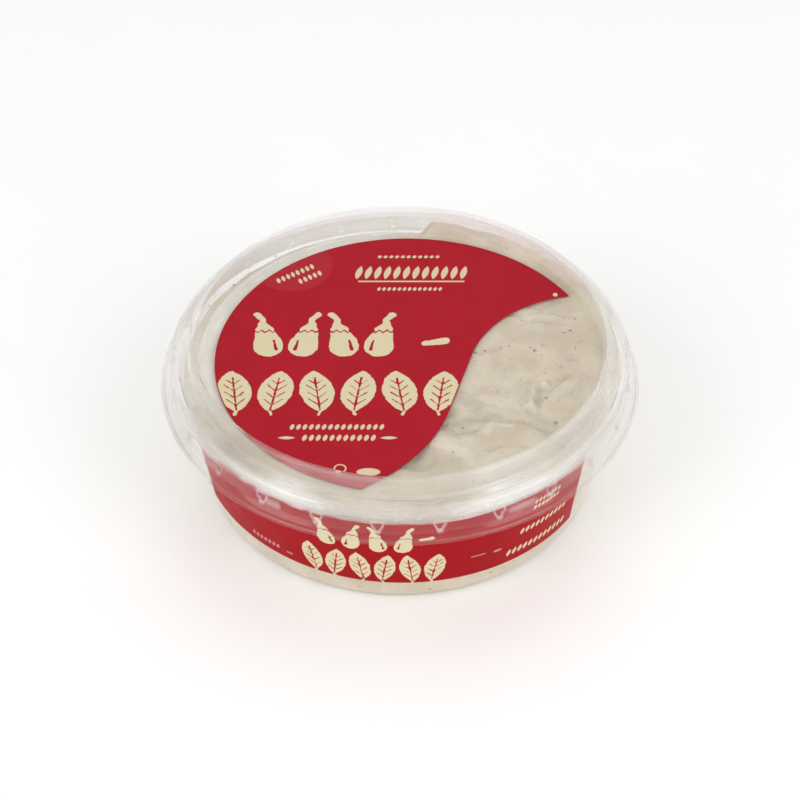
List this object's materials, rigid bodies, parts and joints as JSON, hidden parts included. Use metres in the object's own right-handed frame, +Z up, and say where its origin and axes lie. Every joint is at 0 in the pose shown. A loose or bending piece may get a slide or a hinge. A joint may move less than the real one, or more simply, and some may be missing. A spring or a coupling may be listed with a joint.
{
  "type": "lidded tub of baba ganoush",
  "caption": "Clear round lidded tub of pale baba ganoush, with a red die-cut label in the lid's recess and a red strip label round the front wall.",
  "frame": {"origin": "centre of the tub's base, on the surface it stands on", "axes": "+Z up along the tub's axis, out through the lid; -Y is the front, where the strip label is; +X is to the right seen from the front"},
  "size_m": [0.117, 0.117, 0.0421],
  "materials": {
    "tub_plastic": "clear thermoformed plastic, glossy",
    "lid_plastic": "clear thermoformed plastic, glossy",
    "dip": "moist pale aubergine dip with grey-brown flecks",
    "lid_label_print": "satin printed film label, red with cream shapes",
    "side_label_print": "satin printed film label, red with cream shapes"
  },
  "bodies": {
    "root": {"tub": "tub_plastic", "lid": "lid_plastic", "dip": "dip", "lid_label": "lid_label_print", "side_label": "side_label_print"}
  },
  "joints": []
}
